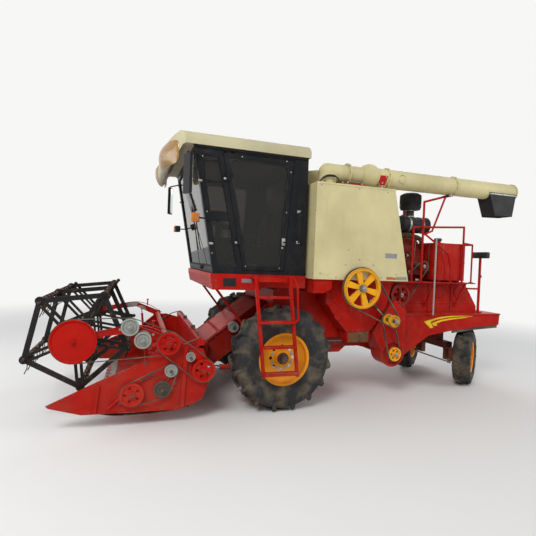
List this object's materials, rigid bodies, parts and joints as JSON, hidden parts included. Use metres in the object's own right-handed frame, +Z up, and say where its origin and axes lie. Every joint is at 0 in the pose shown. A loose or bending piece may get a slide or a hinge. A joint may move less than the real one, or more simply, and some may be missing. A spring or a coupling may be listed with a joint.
{
  "type": "combine harvester",
  "caption": "Self-propelled combine harvester with cab, grain tank, unloading auger, and a grain header with a reel that keeps its tines upright.",
  "frame": {"origin": "on the ground under the middle of the machine's outline", "axes": "+X forward to the header, +Y to the machine's left, +Z up"},
  "size_m": [6.6516, 2.6372, 3.3372],
  "materials": {
    "red_paint": "glossy signal red",
    "dark_red": "satin red primer and paint",
    "cream_paint": "glossy cream",
    "black_paint": "satin black",
    "yellow_paint": "glossy orange yellow",
    "reel_paint": "worn dark brown",
    "bare_steel": "bare, lightly oiled",
    "rod_chrome": "hard chromed rod",
    "tyre_rubber": "dusty black rubber",
    "belt_rubber": "black rubber",
    "black_plastic": "black, matt",
    "seat_cover": "black seat cover, satin",
    "tinted_glass": "dark tinted glass"
  },
  "bodies": {
    "root": {"chassis_frame": "dark_red", "chassis_members": "dark_red", "front_axle": "dark_red", "threshing_body": "red_paint", "straw_body": "red_paint", "tail_hood": "red_paint", "grain_tank": "cream_paint", "grain_elevator": "red_paint", "platform": "red_paint", "ladder": "red_paint", "cab_frame": "black_paint", "cab_glass": "tinted_glass", "cab_roof": "cream_paint", "cab_interior": "black_plastic", "operator_seat": "seat_cover", "mirrors": "black_paint", "side_pulleys": "yellow_paint", "side_belts": "belt_rubber", "engine_block": "red_paint", "air_cleaner": "black_paint", "fuel_tank": "red_paint", "radiator": "dark_red", "deck_rails": "red_paint", "rear_axle": "dark_red"},
    "unloading_auger": {"unload_tube": "cream_paint", "unload_spout": "black_plastic"},
    "swing_barrel": {"swing_barrel": "red_paint"},
    "swing_rod": {"swing_rod": "rod_chrome"},
    "cab_door": {"door_frame": "black_paint", "door_glass": "tinted_glass"},
    "front_wheel_left": {"front_rim_left": "yellow_paint", "front_tyre_left": "tyre_rubber"},
    "front_wheel_right": {"front_rim_right": "yellow_paint", "front_tyre_right": "tyre_rubber"},
    "knuckle_left": {"knuckle_left": "dark_red"},
    "knuckle_right": {"knuckle_right": "dark_red"},
    "tie_rod": {"tie_rod": "bare_steel"},
    "rear_wheel_left": {"rear_rim_left": "yellow_paint", "rear_tyre_left": "tyre_rubber"},
    "rear_wheel_right": {"rear_rim_right": "yellow_paint", "rear_tyre_right": "tyre_rubber"},
    "header": {"feeder_house": "red_paint", "header_frame": "red_paint", "header_pulleys": "red_paint", "header_belts": "belt_rubber"},
    "lift_barrels": {"lift_barrels": "red_paint"},
    "lift_rods": {"lift_rods": "rod_chrome"},
    "knife": {"knife": "bare_steel"},
    "header_auger": {"header_auger": "red_paint"},
    "reel_arms": {"reel_arms": "red_paint", "reel_belt": "belt_rubber"},
    "reel_barrels": {"reel_barrels": "red_paint"},
    "reel_rods": {"reel_rods": "rod_chrome"},
    "reel": {"reel_spider": "reel_paint"},
    "control_ring": {"reel_control": "reel_paint"},
    "bat_1": {"reel_bat_1": "reel_paint"},
    "bat_2": {"reel_bat_2": "reel_paint"},
    "bat_3": {"reel_bat_3": "reel_paint"},
    "bat_4": {"reel_bat_4": "reel_paint"},
    "bat_5": {"reel_bat_5": "reel_paint"}
  },
  "joints": [
    {"name": "front_wheel_left_spin", "type": "hinge", "parent": "root", "child": "front_wheel_left", "pos_m": [0.45, 0.97, 0.65], "axis": [0, 1, 0], "continuous": true},
    {"name": "front_wheel_right_spin", "type": "hinge", "parent": "root", "child": "front_wheel_right", "pos_m": [0.45, -0.97, 0.65], "axis": [0, 1, 0], "continuous": true},
    {"name": "steer_left", "type": "hinge", "parent": "root", "child": "knuckle_left", "pos_m": [-2.73, 0.4, 0.44], "axis": [0, 0, 1], "range_deg": [-78, 2]},
    {"name": "steer_right", "type": "hinge", "parent": "root", "child": "knuckle_right", "pos_m": [-2.73, -0.4, 0.44], "axis": [0, 0, 1], "range_deg": [-78, 2]},
    {"name": "tie_rod_pivot", "type": "hinge", "parent": "knuckle_left", "child": "tie_rod", "pos_m": [-2.6118, 0.49235, 0.34], "axis": [0, 0, 1], "range_deg": [-2, 78]},
    {"name": "rear_wheel_left_spin", "type": "hinge", "parent": "knuckle_left", "child": "rear_wheel_left", "pos_m": [-2.85313, 0.5576, 0.44], "axis": [-0.6157, 0.788, 0], "continuous": true},
    {"name": "rear_wheel_right_spin", "type": "hinge", "parent": "knuckle_right", "child": "rear_wheel_right", "pos_m": [-2.60687, -0.5576, 0.44], "axis": [-0.6157, 0.788, 0], "continuous": true},
    {"name": "cab_door_hinge", "type": "hinge", "parent": "root", "child": "cab_door", "pos_m": [0.99, 1.05, 1.697], "axis": [-0.2111, 0, -0.9775], "range_deg": [0, 75]},
    {"name": "unload_swing", "type": "hinge", "parent": "root", "child": "unloading_auger", "pos_m": [-0.765, 0.85, 3.047], "axis": [0, 0, 1], "range_deg": [-88, 0]},
    {"name": "swing_barrel_pivot", "type": "hinge", "parent": "root", "child": "swing_barrel", "pos_m": [-0.305, 1, 2.881], "axis": [0, 0, 1], "range_deg": [-6.8, 0]},
    {"name": "swing_rod_slide", "type": "slide", "parent": "swing_barrel", "child": "swing_rod", "axis": [-0.9988, -0.0499, 0], "range_m": [-0.25331, 0]},
    {"name": "header_lift", "type": "hinge", "parent": "root", "child": "header", "pos_m": [0.55, 0, 1.137], "axis": [0, -1, 0], "range_deg": [-3, 18]},
    {"name": "lift_barrel_pivot", "type": "hinge", "parent": "root", "child": "lift_barrels", "pos_m": [0.57, 0, 0.417], "axis": [0, -1, 0], "range_deg": [-2.7, 16.07]},
    {"name": "lift_rod_slide", "type": "slide", "parent": "lift_barrels", "child": "lift_rods", "axis": [0.9993, 0, 0.0384], "range_m": [-0.0371, 0.22162]},
    {"name": "knife_stroke", "type": "slide", "parent": "header", "child": "knife", "axis": [0, 1, 0], "range_m": [-0.038, 0.038]},
    {"name": "header_auger_spin", "type": "hinge", "parent": "header", "child": "header_auger", "pos_m": [1.8, 0, 0.497], "axis": [0, -1, 0], "continuous": true},
    {"name": "reel_lift", "type": "hinge", "parent": "header", "child": "reel_arms", "pos_m": [1.85, 0, 0.917], "axis": [0, -1, 0], "range_deg": [-4, 14]},
    {"name": "reel_barrel_pivot", "type": "hinge", "parent": "header", "child": "reel_barrels", "pos_m": [2.07, 0, 0.697], "axis": [0, -1, 0], "range_deg": [-1.48, 5.12]},
    {"name": "reel_rod_slide", "type": "slide", "parent": "reel_barrels", "child": "reel_rods", "axis": [0.0995, 0, 0.995], "range_m": [-0.01647, 0.05713]},
    {"name": "reel_spin", "type": "hinge", "parent": "reel_arms", "child": "reel", "pos_m": [2.788, 0, 0.955], "axis": [0, -1, 0], "continuous": true},
    {"name": "control_ring_spin", "type": "hinge", "parent": "reel_arms", "child": "control_ring", "pos_m": [2.73, 0, 0.989], "axis": [0, -1, 0], "continuous": true},
    {"name": "bat_1_turn", "type": "hinge", "parent": "reel", "child": "bat_1", "pos_m": [3.13929, 0, 1.34515], "axis": [0, -1, 0], "continuous": true},
    {"name": "bat_2_turn", "type": "hinge", "parent": "reel", "child": "bat_2", "pos_m": [2.5255, 0, 1.40966], "axis": [0, -1, 0], "continuous": true},
    {"name": "bat_3_turn", "type": "hinge", "parent": "reel", "child": "bat_3", "pos_m": [2.27447, 0, 0.84585], "axis": [0, -1, 0], "continuous": true},
    {"name": "bat_4_turn", "type": "hinge", "parent": "reel", "child": "bat_4", "pos_m": [2.73312, 0, 0.43288], "axis": [0, -1, 0], "continuous": true},
    {"name": "bat_5_turn", "type": "hinge", "parent": "reel", "child": "bat_5", "pos_m": [3.26761, 0, 0.74146], "axis": [0, -1, 0], "continuous": true}
  ],
  "couplings": [
    {"joint": "steer_right", "follows": "steer_left", "ratio": 1},
    {"joint": "tie_rod_pivot", "follows": "steer_left", "ratio": -1},
    {"joint": "swing_barrel_pivot", "follows": "unload_swing", "ratio": 0.077},
    {"joint": "swing_rod_slide", "follows": "unload_swing", "m_per_rad": 0.1648},
    {"joint": "lift_barrel_pivot", "follows": "header_lift", "ratio": 0.8917},
    {"joint": "lift_rod_slide", "follows": "header_lift", "m_per_rad": 0.7048},
    {"joint": "reel_barrel_pivot", "follows": "reel_lift", "ratio": 0.364},
    {"joint": "reel_rod_slide", "follows": "reel_lift", "m_per_rad": 0.233},
    {"joint": "control_ring_spin", "follows": "reel_spin", "ratio": 1},
    {"joint": "bat_1_turn", "follows": "reel_spin", "ratio": -1},
    {"joint": "bat_2_turn", "follows": "reel_spin", "ratio": -1},
    {"joint": "bat_3_turn", "follows": "reel_spin", "ratio": -1},
    {"joint": "bat_4_turn", "follows": "reel_spin", "ratio": -1},
    {"joint": "bat_5_turn", "follows": "reel_spin", "ratio": -1}
  ]
}
